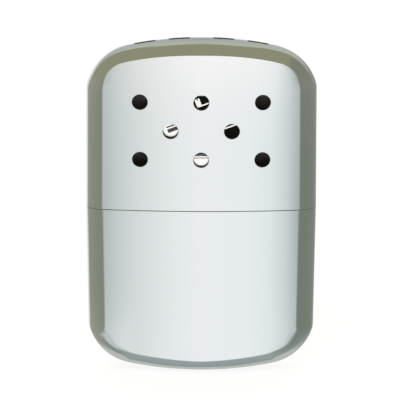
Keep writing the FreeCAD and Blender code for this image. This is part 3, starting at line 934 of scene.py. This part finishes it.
# What the plate mirrors at the height of the tent, by degrees round from the front
TENT = (
    (-180, WHITE), (-156, (0.96, 0.97, 0.96)), (-138, (0.72, 0.75, 0.71)),
    (-128, (0.58, 0.60, 0.55)), (-112, (0.40, 0.42, 0.36)), (-78, (0.325, 0.34, 0.275)),
    (-58, (0.28, 0.30, 0.24)), (-38, (0.256, 0.274, 0.217)), (-26, (0.30, 0.33, 0.29)),
    (-16, (0.53, 0.58, 0.57)), (-14.4, (0.66, 0.71, 0.705)), (-12.7, (0.735, 0.785, 0.77)),
    (-9.4, (0.86, 0.89, 0.875)), (-5.6, (0.95, 0.975, 0.965)), (0, (1.03, 1.04, 1.04)),
    (7.5, (1.00, 1.02, 1.02)), (11.3, (0.93, 0.98, 0.97)), (12.5, (0.84, 0.895, 0.885)),
    (13.4, (0.78, 0.83, 0.82)), (14.5, (0.71, 0.76, 0.75)), (15.0, (0.64, 0.70, 0.69)),
    (15.6, (0.50, 0.56, 0.55)), (16.4, (0.38, 0.43, 0.41)), (24, (0.255, 0.28, 0.25)),
    (38, (0.218, 0.238, 0.207)), (60, (0.222, 0.244, 0.21)), (88, (0.25, 0.275, 0.235)),
    (112, (0.27, 0.29, 0.245)), (142, (0.28, 0.30, 0.255)), (160, (0.34, 0.36, 0.32)),
    (172, (0.62, 0.64, 0.62)), (180, WHITE),
)
ROOM_CEILING = (0.314, 0.314, 0.21)
ROOM_BACK = (0.42, 0.45, 0.45)
ROOM_LOW = (0.35, 0.405, 0.41)
ROOM_LOW_BACK = (0.577, 0.585, 0.545)
ROOM_TABLE = (0.60, 0.665, 0.655)

# Borders of the tent and of the room's parts: (first, last, value at first, value at last) of a
# smooth step, where the values are 0 and 1 if not given. Some have the colour beyond them
TENT_TOP = (6.0, 19.0)            # in degrees up
TENT_FOOT = (-25.0, -62.0)
TENT_RISEN = (-15.5, -12.0)
TENT_RISEN_TINT = (1.14, 1.08, 1.08)
TENT_WIDER = ((2.0, 9.0), (14.0, 11.0, 0.0, 2.6))     # in degrees round
TENT_SUNK = (-19.0, -19.9)
TENT_SUNK_LEFT = (-9.0, -13.5)    # in degrees round
TENT_SUNK_TINT = (1.17, 1.12, 1.13)
CEILING_RIGHT = ((0.59, 0.70), (0.25, 0.262, 0.205))  # in parts of the direction, from here on
BACK_SIDE = ((0.0, 0.2), (0.505, 0.53, 0.50))
BACK_TOP = ((-0.85, -0.45), (0.53, 0.55, 0.44))
HIGH_BEND = (0.25, 0.5, 0.0, 0.22)
HIGH_BORDER = ((0.3, 0.7, -0.21, -0.05), (0.3, 0.7, -0.25, -0.75))
LOW_BEND = (0.0, 0.3, 0.0, 0.42)
LOW_SIDE = ((0.15, 0.5), (0.265, 0.305, 0.285))
LOW_EDGE = ((-0.27, -0.33), (0.325, 0.36, 0.335))
LOW_BORDER = ((0.44, 0.75, -0.385, -0.15), (0.44, 0.75, -0.415, -0.95))
TABLE_AHEAD = (0.15, 0.75)
TABLE_LEFT = (-0.2, -0.35)
TABLE_FOOT = (-54.0, -38.0)       # in degrees up
TABLE_LEAN = 41.0                 # how its upper border slants outwards
TABLE_TOP = (-9.5, -11.5)
BACKDROP = (0.955, 0.985)


def make_world():
    """Studio round the object: a pale tent in front, and a dim room above, below and at the sides.

    A pale table stands low on the left. The camera sees plain white in place of all this, and
    the plate mirrors that white behind the object.
    """
    world = bpy.data.worlds.new("studio")
    bpy.context.scene.world = world
    world.use_nodes = True
    graph = Graph(world.node_tree)
    direction = graph.add("ShaderNodeTexCoord").outputs["Generated"]
    parts = graph.add("ShaderNodeSeparateXYZ", {0: direction}).outputs
    ahead = graph.math("MULTIPLY", parts[1], -1.0)
    aside = graph.math("ABSOLUTE", parts[0])
    round_ = graph.math("DEGREES", graph.math("ARCTAN2", parts[0], ahead))
    up = graph.math("DEGREES", graph.math("ARCSINE", parts[2]))
    risen = graph.smooth(up, *TENT_RISEN)
    wider = graph.times(*[graph.smooth(round_, *step) for step in TENT_WIDER], risen)
    around = graph.math("SUBTRACT", round_, wider)
    tent = graph.ramp(graph.math("MULTIPLY_ADD", around, 1 / 360, 0.5),
                      [(angle / 360 + 0.5, colour) for angle, colour in TENT])
    tent = graph.mix(risen, tent, TENT_RISEN_TINT, "MULTIPLY")
    sunk = graph.times(graph.smooth(up, *TENT_SUNK), graph.smooth(round_, *TENT_SUNK_LEFT))
    tent = graph.mix(sunk, tent, TENT_SUNK_TINT, "MULTIPLY")

    back = graph.over(graph.over(ROOM_BACK, aside, *BACK_SIDE), ahead, *BACK_TOP)
    ceiling = graph.over(ROOM_CEILING, parts[0], *CEILING_RIGHT)
    edge = graph.math("ADD", ahead, graph.smooth(aside, *HIGH_BEND))
    border = [graph.smooth(aside, *step) for step in HIGH_BORDER]
    high = graph.over(ceiling, edge, border, back)

    edge = graph.math("SUBTRACT", ahead, graph.smooth(aside, *LOW_BEND))
    low = graph.over(graph.over(ROOM_LOW, aside, *LOW_SIDE), edge, *LOW_EDGE)
    border = [graph.smooth(aside, *step) for step in LOW_BORDER]
    low = graph.over(low, edge, border, ROOM_LOW_BACK)

    studio = graph.over(graph.over(tent, up, TENT_TOP, high), up, TENT_FOOT, low)
    slant = graph.math("MULTIPLY_ADD", aside, TABLE_LEAN, up)
    table = graph.times(graph.smooth(ahead, *TABLE_AHEAD), graph.smooth(up, *TABLE_FOOT),
                        graph.smooth(parts[0], *TABLE_LEFT), graph.smooth(slant, *TABLE_TOP))
    studio = graph.mix(table, studio, ROOM_TABLE)

    path = graph.add("ShaderNodeLightPath").outputs
    backdrop = graph.times(path["Is Glossy Ray"], graph.smooth(parts[1], *BACKDROP))
    seen = graph.math("MAXIMUM", path["Is Camera Ray"], path["Is Transmission Ray"])
    seen = graph.math("MAXIMUM", seen, backdrop)
    colour = graph.mix(seen, studio, WHITE)
    background = graph.add("ShaderNodeBackground", {"Color": colour, "Strength": 1.0})
    graph.add("ShaderNodeOutputWorld", {"Surface": background.outputs[0]})


def make_lamp(name, place, size, power):
    """Soft square lamp that looks at the object and isn't mirrored in the plate."""
    data = bpy.data.lights.new(name, "AREA")
    data.size = size
    data.energy = power
    lamp = add_object(name, data)
    lamp.location = place
    aim = Vector((0, 0, LAMP_AIM)) - Vector(place)
    lamp.rotation_euler = aim.to_track_quat("-Z", "Y").to_euler()
    lamp.visible_glossy = False
    lamp.visible_camera = False


def make_floor():
    """Pale floor: white to the camera but for the object's soft shadow."""
    mesh = bpy.data.meshes.new("floor")
    corners = ((-1, -1), (1, -1), (1, 1), (-1, 1))
    mesh.from_pydata([(x * FLOOR_REACH, y * FLOOR_REACH, 0) for x, y in corners],
                     [], [(0, 1, 2, 3)])
    floor = add_object("floor", mesh)
    made = bpy.data.materials.new("floor_pale")
    made.use_nodes = True
    graph = Graph(made.node_tree)
    seen = graph.add("ShaderNodeLightPath").outputs["Is Camera Ray"]
    matte = graph.add("ShaderNodeBsdfDiffuse",
                      {"Color": graph.mix(seen, FLOOR_COLOUR, FLOOR_SEEN_COLOUR)})
    glow = graph.add("ShaderNodeEmission",
                     {"Color": (*WHITE, 1.0), "Strength": graph.times(seen, FLOOR_GLOW)})
    both = graph.add("ShaderNodeAddShader", {0: matte.outputs[0], 1: glow.outputs[0]})
    graph.add("ShaderNodeOutputMaterial", {"Surface": both.outputs[0]})
    mesh.materials.append(made)
    floor.visible_glossy = False


# Soft pieces


def soft_piece(name, node, voxel, shape):
    """Fibrous piece made from a CAD solid: remeshed, then drawn in by shape(point)."""
    source = add_object(name + "_source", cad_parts[node].data.copy())
    modifier = source.modifiers.new("remesh", "REMESH")
    modifier.mode = "VOXEL"
    modifier.voxel_size = voxel * MM
    bpy.context.view_layer.update()
    graph = bpy.context.evaluated_depsgraph_get()
    mesh = bpy.data.meshes.new_from_object(source.evaluated_get(graph))
    bpy.data.objects.remove(source)
    mesh.name = name
    obj = add_object(name, mesh)
    normals = [v.normal.copy() for v in mesh.vertices]
    for vertex, normal in zip(mesh.vertices, normals):
        point = vertex.co / MM
        vertex.co = (point - normal * shape(point)) * MM
    mesh.polygons.foreach_set("use_smooth", [True] * len(mesh.polygons))
    mesh.update()
    return obj


def lumps(scale, depth):
    """How far a loosely filled piece draws in: rounded lumps of one size."""
    def shape(point):
        value = noise.noise(point * scale) + 0.5 * noise.noise(point * scale * 2.3)
        return depth * (0.55 + 0.4 * value)
    return shape


def woven(pitch, depth):
    """How far a woven mat draws in between its threads."""
    def shape(point):
        wave = math.sin(2 * math.pi * point.x / pitch) * math.sin(2 * math.pi * point.z / pitch)
        return depth * (0.5 - 0.35 * wave + 0.3 * noise.noise(point * 0.35))
    return shape


# The object


def finish_piece(obj, made, node, body):
    """Material and body of a piece, and hides the CAD node that it stands for."""
    if made is not None:
        obj.data.materials.clear()
        obj.data.materials.append(made)
    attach(obj, body)
    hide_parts(node)


make_camera()
make_world()
make_floor()
for lamp in LAMPS:
    make_lamp(*lamp)

plate = material("case_chrome", chrome)
lining = material("case_inside", inside_plate)
# Walls of the vents and slots, painted dark as shade
cut_edge = material("case_edge", painted_shade_edge)

lid = HalfCase(CASE_HEIGHT - SEAM, LID_CREASE, LID_BLEND, LID_FALL, vent_places(), SLOT_PLACES)
lid = lid.place(SEAM, 1).build("lid", [plate, lining, cut_edge])
finish_piece(lid, None, "lid_shell", "lid")

tank = HalfCase(SEAM + FOOT_FLAT, TANK_CREASE, TANK_BLEND, TANK_FALL).place(SEAM, -1)
for point in tank.points:
    point[2] = max(point[2], 0.0)    # the flat that it stands on
tank = tank.build("tank", [plate, lining])
finish_piece(tank, None, "tank_shell", "base")

for name, nodes, paint in (
        ("collar_steel", ("tank_collar",), brushed(
            (0.68, 0.69, 0.69), (0.62, 0.63, 0.63), 0.24, (2600.0, 2600.0, 160.0), 0.000003)),
        ("deck_steel", ("tank_deck", "neck_strainer"), brushed(
            (0.66, 0.67, 0.67), (0.58, 0.58, 0.57), 0.30, (300.0, 3500.0, 3500.0))),
        ("neck_brass", ("filler_neck",), brushed(
            (0.78, 0.66, 0.42), (0.66, 0.52, 0.30), 0.24, (2500.0, 2500.0, 400.0))),
        ("rivet_steel", ("base_rivets",), brushed(
            (0.60, 0.61, 0.61), (0.48, 0.49, 0.49), 0.28, (2500.0, 2500.0, 2500.0))),
        ("burner_steel", ("burner_skirt", "vapour_plate", "front_guard", "rear_guard",
                          "left_clip", "right_clip", "mat_tray", "burner_cap"), heated_steel)):
    made = material(name, paint)
    for node in nodes:
        dress(node, made)

mat_fibre = material("catalyst_fibre", fibre_mat)
for side in ("front", "rear"):
    mat = soft_piece("catalyst_mat_" + side, "catalyst_" + side, 0.2, woven(pitch=0.9, depth=0.09))
    finish_piece(mat, mat_fibre, "catalyst_" + side, "burner")
wick = soft_piece("wick", "wick_felt", 0.3, lumps(scale=0.9, depth=0.12))
finish_piece(wick, material("wick_felt", felt), "wick_felt", "base")
wadding = material("cotton_wadding", cotton)
for layer in ("front", "core", "rear"):
    pad = soft_piece("wadding_" + layer, "cotton_" + layer, 0.8, lumps(scale=0.16, depth=0.45))
    finish_piece(pad, wadding, "cotton_" + layer, "base")

bpy.context.scene.view_settings.view_transform = "Standard"
